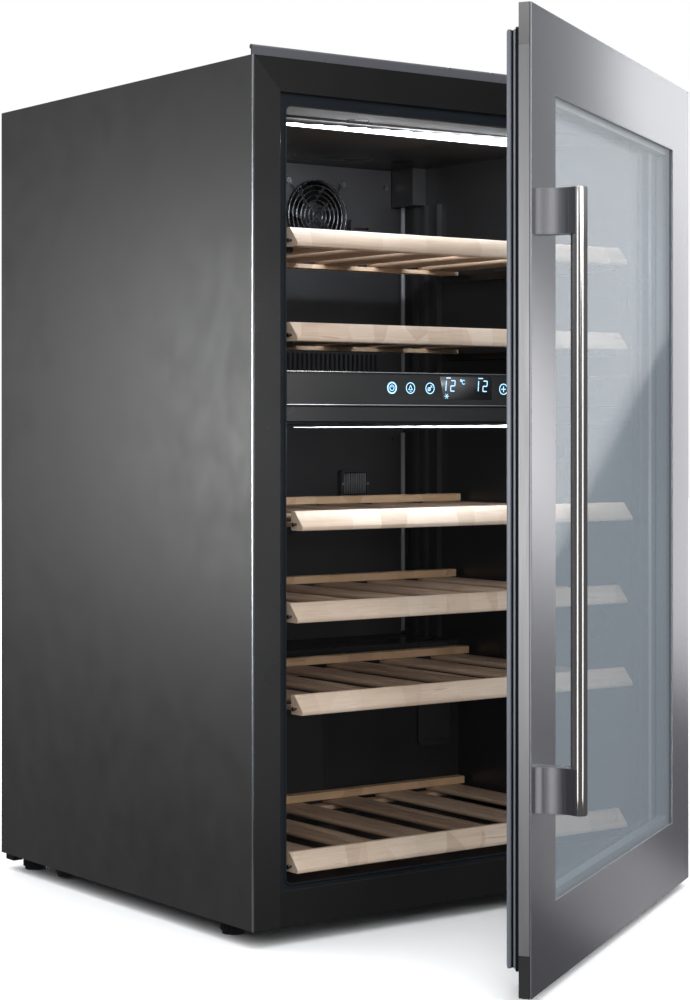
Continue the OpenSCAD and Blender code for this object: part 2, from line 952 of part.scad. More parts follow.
// front board with a slanted face over a short upright lip
module shelf_front(i) {
    color("#d9c2a0")
        at_shelf(i)
            sideways(shelf_x0, shelf_x0 + shelf_w)
                polygon([
                    [0, 0], [0, lip_h], [board_slope, board_h], [board_slope + 6.5, board_h],
                    [board_slope + 6.5, 0],
                ]);
}

// slats between two ledges, with a raised rail across their back ends
module shelf_rack(i) {
    y0 = board_slope + 6.5;
    y1 = rail_y[i] + rail_t;
    color("#b49a7c")
        at_shelf(i) {
            block([rack_x0, y0, ledge_z], [rack_x1, y0 + 16, slat_z]);
            block([rack_x0, y1 - rail_t - 4, ledge_z], [rack_x1, y1, slat_z]);
            for (k = [0:slat_n - 1])
                translate([mid_x + (k - (slat_n - 1) / 2) * slat_pitch, y1, slat_z])
                    rotate([90, 0, 0])
                        linear_extrude(y1 - y0)
                            slat_outline();
            block(
                [rack_x0, y1 - rail_t, slat_z + slat_t],
                [rack_x1, y1, rail_top]
            );
        }
}

// cross-section of a slat, with rounded sides and two flutes
module slat_outline() {
    half = slat_w / 2;
    r = slat_t / 2;
    difference() {
        union() {
            translate([-half + r, 0]) square([slat_w - slat_t, slat_t]);
            for (x = [-half + r, half - r])
                translate([x, r]) circle(r);
        }
        for (x = [-half / 3, half / 3])
            translate([x, slat_t + 0.6]) circle(1.4, $fn = 16);
    }
}

// ---- nodes ----

at_cabinet() side_panel_left();
at_cabinet() side_panel_right();
at_cabinet() top_panel();
at_cabinet() back_panel();
at_cabinet() base_tray();
at_cabinet() fascia_frame();
at_cabinet() edge_trims();
at_cabinet() top_trim_strip();
at_cabinet() liner_flange();
at_cabinet() liner_upper();
at_cabinet() liner_lower();
at_cabinet() insulation();
at_cabinet() duct_cover_upper();
at_cabinet() duct_cover_lower();
at_cabinet() hump_cover();
at_cabinet() divider_housing();
at_cabinet() control_glass();
at_cabinet() display();
at_cabinet() led_bars();
at_cabinet() fan_guard();
at_cabinet() fan_frames();
at_cabinet() sensor_housing();
at_cabinet() vent_grille();
at_cabinet() screws();
at_cabinet() evaporators();
at_cabinet() compressor();
at_cabinet() condenser_coil();
at_cabinet() drip_tray();
at_cabinet() power_box();
at_cabinet() shelf_runners();
at_cabinet() hinge_brackets();
at_cabinet() fan_impeller_upper();
at_cabinet() fan_impeller_lower();
foot(-1, foot_front_y);  // foot_front_left
foot(1, foot_front_y);  // foot_front_right
foot(-1, foot_rear_y);  // foot_rear_left
foot(1, foot_rear_y);  // foot_rear_right
door_skin();
door_edge_profile();
door_end_caps();
door_glass_outer();
door_glass_inner();
glazing_spacer();
door_inner_frame();
door_gasket();
handle_bar();
handle_posts();
in_door() door_hinge_plates();
shelf_front(0);  // shelf_1_front
shelf_rack(0);  // shelf_1_rack
shelf_front(1);  // shelf_2_front
shelf_rack(1);  // shelf_2_rack
shelf_front(2);  // shelf_3_front
shelf_rack(2);  // shelf_3_rack
shelf_front(3);  // shelf_4_front
shelf_rack(3);  // shelf_4_rack
shelf_front(4);  // shelf_5_front
shelf_rack(4);  // shelf_5_rack
shelf_front(5);  // shelf_6_front
shelf_rack(5);  // shelf_6_rack
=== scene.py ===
"""Wine cooler: the looks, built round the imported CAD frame. Metres, in the frame's own axes."""
import json
import math

import bmesh
import bpy
from mathutils import Matrix, Vector


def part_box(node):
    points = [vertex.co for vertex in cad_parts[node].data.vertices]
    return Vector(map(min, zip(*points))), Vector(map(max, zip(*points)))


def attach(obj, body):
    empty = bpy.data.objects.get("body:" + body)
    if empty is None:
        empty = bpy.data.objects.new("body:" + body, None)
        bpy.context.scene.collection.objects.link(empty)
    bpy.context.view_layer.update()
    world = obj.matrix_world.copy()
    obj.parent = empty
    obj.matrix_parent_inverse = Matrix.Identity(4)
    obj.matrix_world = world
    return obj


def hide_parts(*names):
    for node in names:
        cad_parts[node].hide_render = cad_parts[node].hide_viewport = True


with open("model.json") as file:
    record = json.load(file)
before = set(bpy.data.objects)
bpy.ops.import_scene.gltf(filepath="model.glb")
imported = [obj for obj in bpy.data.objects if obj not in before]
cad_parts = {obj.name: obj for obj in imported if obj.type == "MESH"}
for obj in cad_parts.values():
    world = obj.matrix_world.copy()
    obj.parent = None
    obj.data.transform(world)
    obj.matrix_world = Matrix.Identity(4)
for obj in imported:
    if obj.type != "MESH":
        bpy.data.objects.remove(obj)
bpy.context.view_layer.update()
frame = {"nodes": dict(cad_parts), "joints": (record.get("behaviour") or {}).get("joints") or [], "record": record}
NODES = frame["nodes"]

# ---------------------------------------------------------------- places

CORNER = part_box("side_panel_left")[0]
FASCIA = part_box("fascia_frame")
CAB = Matrix.Translation((CORNER.x, FASCIA[0].y, CORNER.z)) @ Matrix.Scale(0.001, 4)
HINGE = next(j for j in frame["joints"] if j["name"] == "door_hinge")
PIVOT = Vector(HINGE["pos_m"])
DOOR = (
    Matrix.Translation(PIVOT)
    @ Matrix.Rotation(math.radians(-HINGE["range_deg"][0]), 4, "Z")
    @ Matrix.Translation(-PIVOT)
    @ CAB
)

# ---------------------------------------------------------------- materials


class Finish:
    """A Principled material. Constants sit on its own sockets; patterns are wired in by name."""

    def __init__(self, name, colour=(0.5, 0.5, 0.5), rough=0.5, metal=0.0, **more):
        self.material = bpy.data.materials.new(name)
        self.material.use_nodes = True
        self.tree = self.material.node_tree
        self.shader = self.tree.nodes["Principled BSDF"]
        self.shader.inputs["Base Color"].default_value = (*colour, 1)
        self.shader.inputs["Roughness"].default_value = rough
        self.shader.inputs["Metallic"].default_value = metal
        for key, value in more.items():
            self.shader.inputs[key.replace("_", " ")].default_value = value
        self.place = self.tree.nodes.new("ShaderNodeTexCoord").outputs["Object"]
        self.bumps = None

    def stretch(self, scale, turn=(0, 0, 0)):
        node = self.tree.nodes.new("ShaderNodeMapping")
        node.inputs["Scale"].default_value = scale
        node.inputs["Rotation"].default_value = turn
        self.tree.links.new(self.place, node.inputs["Vector"])
        return node.outputs["Vector"]

    def noise(self, scale, detail=3.0, rough=0.55, turn=(0, 0, 0)):
        node = self.tree.nodes.new("ShaderNodeTexNoise")
        node.inputs["Scale"].default_value = 1.0
        node.inputs["Detail"].default_value = detail
        node.inputs["Roughness"].default_value = rough
        self.tree.links.new(self.stretch(scale, turn), node.inputs["Vector"])
        return node.outputs["Fac"]

    def cells(self, size, turn=(0, 0, 0)):
        """A random tone for each cell of a given size in metres; the cells lean by turn."""
        node = self.tree.nodes.new("ShaderNodeTexVoronoi")
        node.inputs["Scale"].default_value = 1.0
        place = self.tree.nodes.new("ShaderNodeMapping")
        place.vector_type = "TEXTURE"
        place.inputs["Scale"].default_value = size
        place.inputs["Rotation"].default_value = turn
        self.tree.links.new(self.place, place.inputs["Vector"])
        self.tree.links.new(place.outputs["Vector"], node.inputs["Vector"])
        return node.outputs["Color"]

    def ramp(self, value, *stops):
        node = self.tree.nodes.new("ShaderNodeValToRGB")
        node.color_ramp.elements[0].position = stops[0][0]
        node.color_ramp.elements[0].color = (*stops[0][1], 1)
        node.color_ramp.elements[1].position = stops[-1][0]
        node.color_ramp.elements[1].color = (*stops[-1][1], 1)
        for where, colour in stops[1:-1]:
            node.color_ramp.elements.new(where).color = (*colour, 1)
        self.tree.links.new(value, node.inputs["Fac"])
        return node.outputs["Color"]

    def spread(self, value, low, high, start=0.3, end=0.7):
        node = self.tree.nodes.new("ShaderNodeMapRange")
        for key, number in (("From Min", start), ("From Max", end), ("To Min", low), ("To Max", high)):
            node.inputs[key].default_value = number
        self.tree.links.new(value, node.inputs["Value"])
        return node.outputs["Result"]

    def mix(self, a, b, share, mode="MIX"):
        node = self.tree.nodes.new("ShaderNodeMix")
        node.data_type = "RGBA"
        node.blend_type = mode
        for key, value in (("A", a), ("B", b), ("Factor", share)):
            socket = next(s for s in node.inputs if s.name == key and (s.type == "RGBA") == (key != "Factor"))
            if isinstance(value, bpy.types.NodeSocket):
                self.tree.links.new(value, socket)
            else:
                socket.default_value = (*value, 1) if isinstance(value, tuple) else value
        return next(s for s in node.outputs if s.type == "RGBA")

    def paint(self, colour):
        self.tree.links.new(colour, self.shader.inputs["Base Color"])
        return self

    def polish(self, value):
        self.tree.links.new(value, self.shader.inputs["Roughness"])
        return self

    def bump(self, height, strength, distance=0.0005):
        node = self.tree.nodes.new("ShaderNodeBump")
        node.inputs["Strength"].default_value = strength
        node.inputs["Distance"].default_value = distance
        self.tree.links.new(height, node.inputs["Height"])
        if self.bumps is not None:
            self.tree.links.new(self.bumps, node.inputs["Normal"])
        self.bumps = node.outputs["Normal"]
        self.tree.links.new(self.bumps, self.shader.inputs["Normal"])
        return self


def moulded(name, dark, light, rough, grain=900, strength=0.12, **more):
    """Moulded plastic: a fine leathered grain and slow changes of tone and gloss."""
    f = Finish(name, light, rough, **more)
    slow = f.noise((6, 6, 6), 2)
    f.paint(f.ramp(slow, (0.3, dark), (0.7, light)))
    f.polish(f.spread(slow, rough - 0.05, rough + 0.06))
    return f.bump(f.noise((grain, grain, grain), 2), strength, 0.0002).material


def painted(name, dark, light, rough, **more):
    """Powder-coated sheet steel: a faint orange peel and a slight change of tone."""
    f = Finish(name, light, rough, **more)
    slow = f.noise((2.5, 2.5, 1.5), 2)
    f.paint(f.ramp(slow, (0.3, dark), (0.7, light)))
    f.polish(f.spread(f.noise((30, 30, 30), 3), rough - 0.03, rough + 0.04))
    return f.bump(f.noise((700, 700, 700), 2), 0.06, 0.0002).material


def brushed(name, dark, light, rough, along=(900, 900, 6), strength=0.05, turn=(0, 0, 0), **more):
    """Metal brushed along one axis: long fine lines in its tone, gloss and surface."""
    f = Finish(name, light, rough, 1.0, **more)
    lines = f.noise(along, 4, 0.7, turn)
    wide = f.noise(tuple(a / 12 if a > 50 else a / 2 for a in along), 2, 0.5, turn)
    f.paint(f.mix(f.ramp(lines, (0.3, dark), (0.7, light)), f.ramp(wide, (0.35, dark), (0.65, light)), 0.4))
    f.polish(f.spread(lines, rough - 0.06, rough + 0.07))
    return f.bump(lines, strength, 0.0001).material


def satin(name, dark, light, rough, along, turn, pull=0.98):
    """Sheet metal brushed level: its shine is drawn out up and down, across the lines."""
    f = Finish(name, light, rough, 1.0, Anisotropic=pull, Anisotropic_Rotation=0.28)
    tangent = f.tree.nodes.new("ShaderNodeTangent")
    tangent.direction_type = "RADIAL"
    tangent.axis = "Z"
    f.tree.links.new(tangent.outputs["Tangent"], f.shader.inputs["Tangent"])
    lines = f.noise(along, 4, 0.7, turn)
    f.paint(f.ramp(lines, (0.3, dark), (0.7, light)))
    f.polish(f.spread(lines, rough - 0.02, rough + 0.02))
    return f.material


def wood(name, pale, mid, deep, along, lean=0.0, block=(0.03, 9, 0.1), rough=0.5, depth=1.0):
    """Finger-jointed beech: slanted blocks of differing tone, fine grain, pores and brown flecks."""
    f = Finish(name, mid, rough, Coat_Weight=0.15, Coat_Roughness=0.35)
    blocks = f.cells(block, (0, lean, 0))
    grain = f.noise(along, 5, 0.62)
    fine = f.noise(tuple(a * 5 for a in along), 3, 0.6)
    dim = tuple(m * (1 - 0.22 * depth) for m in mid)
    tone = f.ramp(f.spread(blocks, 0, 1, 0.1, 0.9), (0.0, dim), (0.35, mid), (0.6, pale), (1.0, mid))
    tone = f.mix(tone, f.ramp(grain, (0.28, deep), (0.5, mid), (0.75, pale)), 0.3)
    fleck = f.ramp(f.noise(tuple(a * 1.7 for a in along), 2), (0.68, (0, 0, 0)), (0.73, (1, 1, 1)))
    tone = f.mix(tone, deep, f.spread(fleck, 0, 0.6, 0, 1))
    f.paint(f.mix(tone, f.ramp(fine, (0.3, (0.8, 0.75, 0.7)), (0.7, (1, 1, 1))), 0.5, "MULTIPLY"))
    f.polish(f.spread(grain, rough - 0.07, rough + 0.09))
    return f.bump(fine, 0.18, 0.0002).bump(grain, 0.12, 0.0004).material


def glowing(name, colour, strength, body=(0.02, 0.02, 0.03)):
    f = Finish(name, body, 0.3)
    cloud = f.noise((90, 90, 90), 2)
    f.paint(f.ramp(cloud, (0.3, tuple(0.8 * b for b in body)), (0.7, body)))
    f.shader.inputs["Emission Color"].default_value = (*colour, 1)
    f.shader.inputs["Emission Strength"].default_value = strength
    return f.material


def glazing(name, tint, alpha):
    """A coated pane: mostly seen through, with a pale veil and a strong mirror shine."""
    f = Finish(name, tint, 0.03, IOR=1.9, Alpha=alpha)
    cloud = f.noise((3, 3, 3), 2)
    f.paint(f.ramp(cloud, (0.3, tuple(0.96 * t for t in tint)), (0.7, tint)))
    f.polish(f.spread(cloud, 0.02, 0.045))
    return f.material


M = {}


def finish(kind, name, *numbers, **more):
    """Make the material of a slot: its name, then what its kind takes."""
    M[name] = kind(name, *numbers, **more)


finish(painted, "side_steel", (0.024, 0.0235, 0.023), (0.03, 0.0295, 0.029), 0.37)
finish(painted, "back_steel", (0.1, 0.1, 0.11), (0.12, 0.12, 0.13), 0.5)
finish(painted, "base_steel", (0.02, 0.02, 0.021), (0.026, 0.026, 0.028), 0.5)
finish(moulded, "fascia_plastic", (0.009, 0.009, 0.009), (0.012, 0.012, 0.012), 0.24, 600, 0.04,
       Specular_IOR_Level=0.18)
# the top and foot rails: a darker copy of the stiles' black plastic, its darker tone is painted shade
finish(moulded, "fascia_rail", (0.0075, 0.0075, 0.0075), (0.0095, 0.0095, 0.0095), 0.2, 600, 0.04,
       Specular_IOR_Level=0.1)
finish(brushed, "bright_trim", (0.62, 0.63, 0.64), (0.75, 0.76, 0.77), 0.25)
finish(painted, "strip_metal", (0.17, 0.17, 0.19), (0.21, 0.21, 0.235), 0.3)
finish(moulded, "flange_plastic", (0.024, 0.029, 0.036), (0.032, 0.038, 0.047), 0.34,
       Specular_IOR_Level=0.25)
# a paler copy of the frame's plastic: a painted highlight along the mouth's edge
finish(moulded, "flange_edge", (0.03, 0.036, 0.043), (0.04, 0.047, 0.055), 0.3,
       Specular_IOR_Level=0.3)
finish(moulded, "liner_plastic", (0.010, 0.010, 0.0105), (0.016, 0.016, 0.0165), 0.3, 500, 0.2)
# a pale copy of the dark liner plastic for the back beads and grille fins: painted highlights
finish(moulded, "rib_plastic", (0.13, 0.133, 0.138), (0.19, 0.193, 0.198), 0.22, 500, 0.05)
finish(moulded, "foam", (0.5, 0.4, 0.22), (0.7, 0.58, 0.34), 0.85, 200, 0.5)
finish(moulded, "cover_plastic", (0.016, 0.0155, 0.017), (0.024, 0.0235, 0.0255), 0.4, 800, 0.2)
finish(moulded, "divider_plastic", (0.013, 0.013, 0.013), (0.017, 0.017, 0.017), 0.25, 500, 0.03,
       Specular_IOR_Level=0.2)
# a paler copy of the divider's plastic: painted highlights on the panel's arrises
finish(moulded, "divider_edge", (0.1, 0.1, 0.105), (0.14, 0.14, 0.145), 0.3, 500, 0.03)
finish(moulded, "panel_glass", (0.013, 0.013, 0.013), (0.017, 0.017, 0.017), 0.12, 300, 0.0,
       Specular_IOR_Level=0.2)
finish(moulded, "display_smoke", (0.03, 0.03, 0.032), (0.037, 0.037, 0.039), 0.4, 300, 0.0,
       Specular_IOR_Level=0.2)
finish(glowing, "display_blue", (0.36, 0.68, 1.0), 2.2)
finish(glowing, "led_white", (0.9, 0.95, 1.0), 7.0, (0.8, 0.85, 0.9))
finish(moulded, "led_case", (0.03, 0.03, 0.032), (0.045, 0.045, 0.047), 0.3, 500, 0.03)
finish(brushed, "guard_wire", (0.1, 0.1, 0.105), (0.16, 0.16, 0.17), 0.26, (300, 300, 300))
finish(moulded, "fan_plastic", (0.006, 0.006, 0.006), (0.009, 0.009, 0.01), 0.5)
finish(brushed, "screw_steel", (0.1, 0.1, 0.105), (0.18, 0.18, 0.185), 0.3, (500, 500, 500))
finish(brushed, "coil_metal", (0.45, 0.44, 0.42), (0.6, 0.59, 0.56), 0.4)
finish(painted, "compressor_paint", (0.01, 0.01, 0.011), (0.016, 0.016, 0.017), 0.35)
finish(painted, "condenser_paint", (0.012, 0.012, 0.013), (0.02, 0.02, 0.021), 0.4)
finish(brushed, "hinge_steel", (0.28, 0.28, 0.29), (0.4, 0.4, 0.42), 0.35, (400, 400, 400))
finish(moulded, "impeller_plastic", (0.007, 0.007, 0.008), (0.011, 0.011, 0.012), 0.4)
finish(moulded, "foot_plastic", (0.01, 0.01, 0.011), (0.018, 0.018, 0.02), 0.45)
finish(satin, "door_steel", (0.4, 0.4, 0.43), (0.48, 0.48, 0.51), 0.23, (7, 1300, 1300),
       (0, 0, -0.549))
finish(brushed, "edge_aluminium", (0.42, 0.42, 0.425), (0.48, 0.48, 0.485), 0.36, (900, 900, 8))
finish(moulded, "cap_plastic", (0.028, 0.028, 0.028), (0.036, 0.036, 0.036), 0.36,
       Specular_IOR_Level=0.2)
finish(glazing, "door_glass", (0.64, 0.73, 0.8), 0.17)
# pale blue-grey in place of the spacer's own metal tone: a painted reflection that copies the lit veil of the
# panes in front of it
finish(painted, "spacer_aluminium", (0.19, 0.215, 0.235), (0.22, 0.245, 0.27), 0.4)
finish(moulded, "frame_plastic", (0.012, 0.013, 0.015), (0.02, 0.021, 0.023), 0.4)
# near-black rubber laid in the gasket's folds: painted shadow
finish(moulded, "fold_rubber", (0.008, 0.008, 0.01), (0.013, 0.013, 0.015), 0.5, 700, 0.1)
finish(moulded, "gasket_rubber", (0.19, 0.205, 0.235), (0.23, 0.245, 0.28), 0.42, 700, 0.1)
finish(brushed, "bar_steel", (0.62, 0.6, 0.58), (0.74, 0.72, 0.7), 0.13, (900, 900, 8), 0.03)
finish(brushed, "post_metal", (0.2, 0.2, 0.215), (0.3, 0.3, 0.32), 0.34, (900, 900, 8))
finish(wood, "shelf_beech", (0.9, 0.76, 0.63), (0.78, 0.61, 0.47), (0.48, 0.31, 0.2),
       (9, 150, 150), 0.5)
finish(wood, "rail_wood", (0.76, 0.53, 0.34), (0.62, 0.41, 0.24), (0.36, 0.2, 0.11),
       (9, 150, 150), 0.3)
finish(wood, "slat_wood", (0.62, 0.46, 0.34), (0.46, 0.32, 0.23), (0.26, 0.16, 0.1),
       (150, 8, 150), 0.0, (0.077, 0.4, 9))
finish(wood, "ledge_wood", (0.7, 0.52, 0.36), (0.56, 0.4, 0.27), (0.34, 0.22, 0.13),
       (9, 150, 150), 0.2)

for sub in frame["record"]["subparts"]:
    node = NODES[sub["node"]]
    node.data.materials.clear()
    node.data.materials.append(M[sub["material_slot"]])

# ---------------------------------------------------------------- building


def span(node, place=CAB):
    """Lowest and highest corner of a CAD node in a place's own millimetres."""
    back = place.inverted()
    points = [back @ v.co for v in NODES[node].data.vertices]
    return [min(p[i] for p in points) for i in range(3)], [max(p[i] for p in points) for i in range(3)]


def piece(name, body, slot, fill, place=CAB, bevel=0.0, steps=2, replaces=(), angle=30):
    """A new mesh piece: fill(bm) draws it in the place's millimetres; its edges are then rounded."""
    bm = bmesh.new()
    fill(bm)
    bmesh.ops.remove_doubles(bm, verts=bm.verts, dist=0.0005)
    bmesh.ops.recalc_face_normals(bm, faces=bm.faces)
    mesh = bpy.data.meshes.new(name)
    bm.to_mesh(mesh)
    bm.free()
    mesh.transform(place)
    for polygon in mesh.polygons:
        polygon.use_smooth = True
    mesh.materials.append(M[slot])
    o = bpy.data.objects.new(name, mesh)
    bpy.context.scene.collection.objects.link(o)
    if bevel:
        round_off = o.modifiers.new("round", "BEVEL")
        round_off.width = bevel / 1000
        round_off.segments = steps
        round_off.limit_method = "ANGLE"
        round_off.angle_limit = math.radians(angle)
        round_off.harden_normals = True
    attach(o, body)
    if replaces:
        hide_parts(*replaces)
    return o


def prism(bm, outline, low, high, axis="z"):
    """A flat outline made solid between low and high along an axis."""
    put = {"x": lambda a, b, c: (c, a, b), "y": lambda a, b, c: (a, c, b), "z": lambda a, b, c: (a, b, c)}
    ends = [[bm.verts.new(put[axis](a, b, c)) for a, b in outline] for c in (low, high)]
    bm.faces.new(ends[0][::-1])
    bm.faces.new(ends[1])
    for i in range(len(outline)):
        j = (i + 1) % len(outline)
        bm.faces.new((ends[0][i], ends[0][j], ends[1][j], ends[1][i]))


def brick(bm, a, b):
    prism(bm, [(a[0], a[1]), (b[0], a[1]), (b[0], b[1]), (a[0], b[1])], a[2], b[2])


def arc(cx, cy, r, start, end, steps=8):
    turns = [math.radians(start + (end - start) * i / steps) for i in range(steps + 1)]
    return [(cx + r * math.cos(t), cy + r * math.sin(t)) for t in turns]


def corners(box, r, steps=6):
    """The outline of a rectangle (x0, z0, x1, z1) with round corners."""
    x0, z0, x1, z1 = box
    out = []
    centres = ((x1 - r, z1 - r), (x0 + r, z1 - r), (x0 + r, z0 + r), (x1 - r, z0 + r))
    for quarter, (cx, cz) in enumerate(centres):
        out += arc(cx, cz, r, 90 * quarter, 90 * quarter + 90, steps)
    return out


def hoop(bm, rings):
    """A frame: rings of (rectangle, corner radius, y), joined one to the next and the last to the first."""
    loops = [[bm.verts.new((x, y, z)) for x, z in corners(box, r)] for box, r, y in rings]
    for one, two in zip(loops, loops[1:] + loops[:1]):
        for i in range(len(one)):
            j = (i + 1) % len(one)
            bm.faces.new((one[i], one[j], two[j], two[i]))


def lathe(bm, profile, centre, axis="z", steps=48):
    """A turned shape: (radius, height) points spun about an axis through centre."""
    rings = []
    for r, h in profile:
        ring = []
        for i in range(steps):
            t = 2 * math.pi * i / steps
            a, b = r * math.cos(t), r * math.sin(t)
            ring.append({"z": (a, b, h), "y": (a, h, b), "x": (h, a, b)}[axis])
        rings.append([bm.verts.new([c + p for c, p in zip(centre, q)]) for q in ring])
    for one, two in zip(rings, rings[1:]):
        for i in range(steps):
            j = (i + 1) % steps
            bm.faces.new((one[i], one[j], two[j], two[i]))
    bm.faces.new(rings[0][::-1])
    bm.faces.new(rings[-1])


def inset(box, d):
    return (box[0] + d, box[1] + d, box[2] - d, box[3] - d)


# ---------------------------------------------------------------- the black front frame

low, high = span("fascia_frame")
outer = (low[0], low[2], high[0], high[2])
STILE, TOP_RAIL, FOOT_RAIL = 33.5, 33.4, 35.8  # the widths of the frame's boards
inner = (STILE, outer[1] + FOOT_RAIL, high[0] + low[0] - STILE, outer[3] - TOP_RAIL)
BOARDS = {
    "frame_left": [(outer[0], outer[1]), (inner[0], outer[1]), (inner[0], inner[3]), (outer[0], outer[3])],
    "frame_right": [(outer[2], outer[1]), (inner[2], outer[1]), (inner[2], inner[3]), (outer[2], outer[3])],
    "frame_top": [(outer[0], outer[3]), (inner[0], inner[3]), (inner[2], inner[3]), (outer[2], outer[3])],
    "frame_foot": [(inner[0], outer[1]), (inner[0], inner[1]), (inner[2], inner[1]), (inner[2], outer[1])],
}
for name, outline in BOARDS.items():
    # the stiles take the black plastic, the rails its darker copy: painted shade
    slot = "fascia_plastic" if name in ("frame_left", "frame_right") else "fascia_rail"
    swap = ("fascia_frame",) if name == "frame_left" else ()

    def board(bm):
        prism(bm, outline, low[1], high[1], "y")

    piece(name, "cabinet", slot, board, bevel=0.5, replaces=swap)

# the recessed plastic frame, rolled over into the mouth of the liner
flange_low, flange_high = span("liner_flange")
mouth = (44, 41.5, 514, 817)  # the liner's mouth: left, foot, right, top
behind = (flange_low[0], flange_low[2], flange_high[0], flange_high[2])
lip = flange_low[1]


def flange(bm):
    hoop(bm, [
        (behind, 2, high[1] + 0.05),
        (inset(mouth, -2.6), 8.6, high[1] + 0.05),
        (inset(mouth, -1.9), 7.9, lip + 0.6),
        (inset(mouth, -1.2), 7.2, lip),
        (inset(mouth, -0.4), 6.4, lip + 0.1),
        (inset(mouth, 0), 6, lip + 0.8),
        (inset(mouth, 0), 6, flange_high[1]),
        (behind, 2, flange_high[1]),
    ])


piece("mouth_frame", "cabinet", "flange_plastic", flange, replaces=("liner_flange",), bevel=0.25, angle=25)


# a thin pale hoop on the lip of the mouth: a painted highlight line
def mouth_edge(bm):
    hoop(bm, [
        (inset(mouth, -1.3), 7.3, lip - 0.1),
        (inset(mouth, -0.5), 6.5, lip - 0.1),
        (inset(mouth, -0.5), 6.5, lip + 0.4),
        (inset(mouth, -1.3), 7.3, lip + 0.4),
    ])


piece("mouth_edge", "cabinet", "flange_edge", mouth_edge)

# ---------------------------------------------------------------- ribs, covers and lamps inside


BEAD_Y = span("duct_cover_upper")[0][1] - 6
BEADS = ((497, 3.2), (508.5, 2.4))  # X and radius
BEAD_LENGTHS = ((242, 490), (558, 796))  # from and to, in each compartment
STEP_Y = span("hump_cover")[1][1]
STEP_DUCT, STEP_LID = (441, 113, 489, 236), (110, 58, 308, 178)
VENT_Y = span("vent_grille")[0][1]
FINS, FIN_PITCH = 10, 3.5


def back_column(bm):
    """The pair of upright beads in the back corner, one length in each compartment."""
    for z0, z1 in BEAD_LENGTHS:
        for x, r in BEADS:
            prism(bm, arc(x, BEAD_Y, r, 180, 360, 8), z0, z1)


def step_cover(bm):
    """A round-cornered lid and an upright duct on the step over the machine bay."""
    for box, thick in ((STEP_DUCT, 4.5), (STEP_LID, 2)):
        prism(bm, corners(box, 8), STEP_Y - thick, STEP_Y, "y")


def vent_fins(bm):
    """Thin upright fins and two round bosses in the lower grille."""
    for k in range(FINS):
        brick(bm, (405 + k * FIN_PITCH, VENT_Y - 0.3, 415), (405.9 + k * FIN_PITCH, VENT_Y + 3, 440))
    for x in (402, 440):
        lathe(bm, [(1.9, 0), (1.9, -1.2), (1.2, -1.7)], (x, VENT_Y, 427), "y", 16)


# pale beads and fins on the dark liner: their pale tone is painted highlight
piece("back_column", "cabinet", "rib_plastic", back_column)
piece("vent_fins", "cabinet", "rib_plastic", vent_fins)
piece("step_cover", "cabinet", "cover_plastic", step_cover, bevel=1.6, steps=3)

# ---------------------------------------------------------------- the back

BACK = span("back_panel")[1][1]
PLATE = (210, 600, 290, 655)
SCREW_X, SCREW_Z = (12, 190, 368, 546), (16, 300, 590, 860)


def back_plate(bm):
    prism(bm, corners(PLATE, 3), BACK, BACK + 0.4, "y")


def back_screws(bm):
    """Round heads up both edges and along the top."""
    for x in SCREW_X:
        for z in SCREW_Z:
            if x in (SCREW_X[0], SCREW_X[-1]) or z == SCREW_Z[-1]:
                lathe(bm, [(3.4, 0), (3.4, 0.9), (2.6, 1.6), (0.8, 1.8)], (x, BACK, z), "y", 20)


piece("back_plate", "cabinet", "strip_metal", back_plate)
piece("back_screws", "cabinet", "screw_steel", back_screws)

# ---------------------------------------------------------------- the control panel

glass_low, glass_high = span("control_glass")
show_low, show_high = span("display")
face = glass_low[1]
MID = (show_low[0] + show_high[0]) / 2
MARK_Y = face - 0.14  # where raised marks start
ICON_Z, ICON_R = 537.5, 5.5
ICON_STEPS = (50.3, 76.1, 100.4)  # each symbol's distance from the middle


def strokes(bm, lines, width):
    """Thin raised strokes in the X-Z plane along each run of points."""
    for line in lines:
        for (ax, az), (bx, bz) in zip(line, line[1:]):
            length = math.hypot(bx - ax, bz - az) or 1
            ux, uz = (bx - ax) / length * width / 2, (bz - az) / length * width / 2
            near = [(ax - ux - uz, az - uz + ux), (ax - ux + uz, az - uz - ux)]
            far = [(bx + ux + uz, bz + uz - ux), (bx + ux - uz, bz + uz + ux)]
            prism(bm, near + far, MARK_Y, MARK_Y + 0.12, "y")


SEGMENTS = {
    "a": ((0, 2), (1, 2)),
    "b": ((1, 2), (1, 1)),
    "c": ((1, 1), (1, 0)),
    "d": ((0, 0), (1, 0)),
    "e": ((0, 0), (0, 1)),
    "g": ((0, 1), (1, 1)),
}
DIGITS = {"1": "bc", "2": "abged"}


def number(text, x, z, w, h):
    """Slanted seven-segment strokes for a number whose left foot is at (x, z)."""
    gap, pitch, slant = 0.12, 2.2, 0.08
    lines = []
    for k, digit in enumerate(text):
        for s in DIGITS[digit]:
            (a, b), (c, d) = SEGMENTS[s]
            if a == c:
                line = [(a, max(b, d) - gap), (a, min(b, d) + gap)]
            else:
                line = [(a + gap, b), (c - gap, d)]
            lines.append([(x + (k * pitch + p) * w + q * h / 2 * slant, z + q * h / 2) for p, q in line])
    return lines


def digits(bm):
    for x in (MID - 34.6, MID + 9.5):
        strokes(bm, number("12", x, ICON_Z - 2.6, 5.4, 11), 1.0)
    strokes(bm, [[(x, 548.6), (x + 5, 548.6)] for x in (MID - 28, MID + 16)], 1.0)


def panel_lines(bm):
    """Painted highlights: pale strips on the arrises under the glass and along the top of the panel."""
    for z in (glass_low[2] - 1.3, glass_high[2] + 0.5):
        brick(bm, (glass_low[0], face - 0.1, z), (glass_high[0], face + 1, z + 0.9))


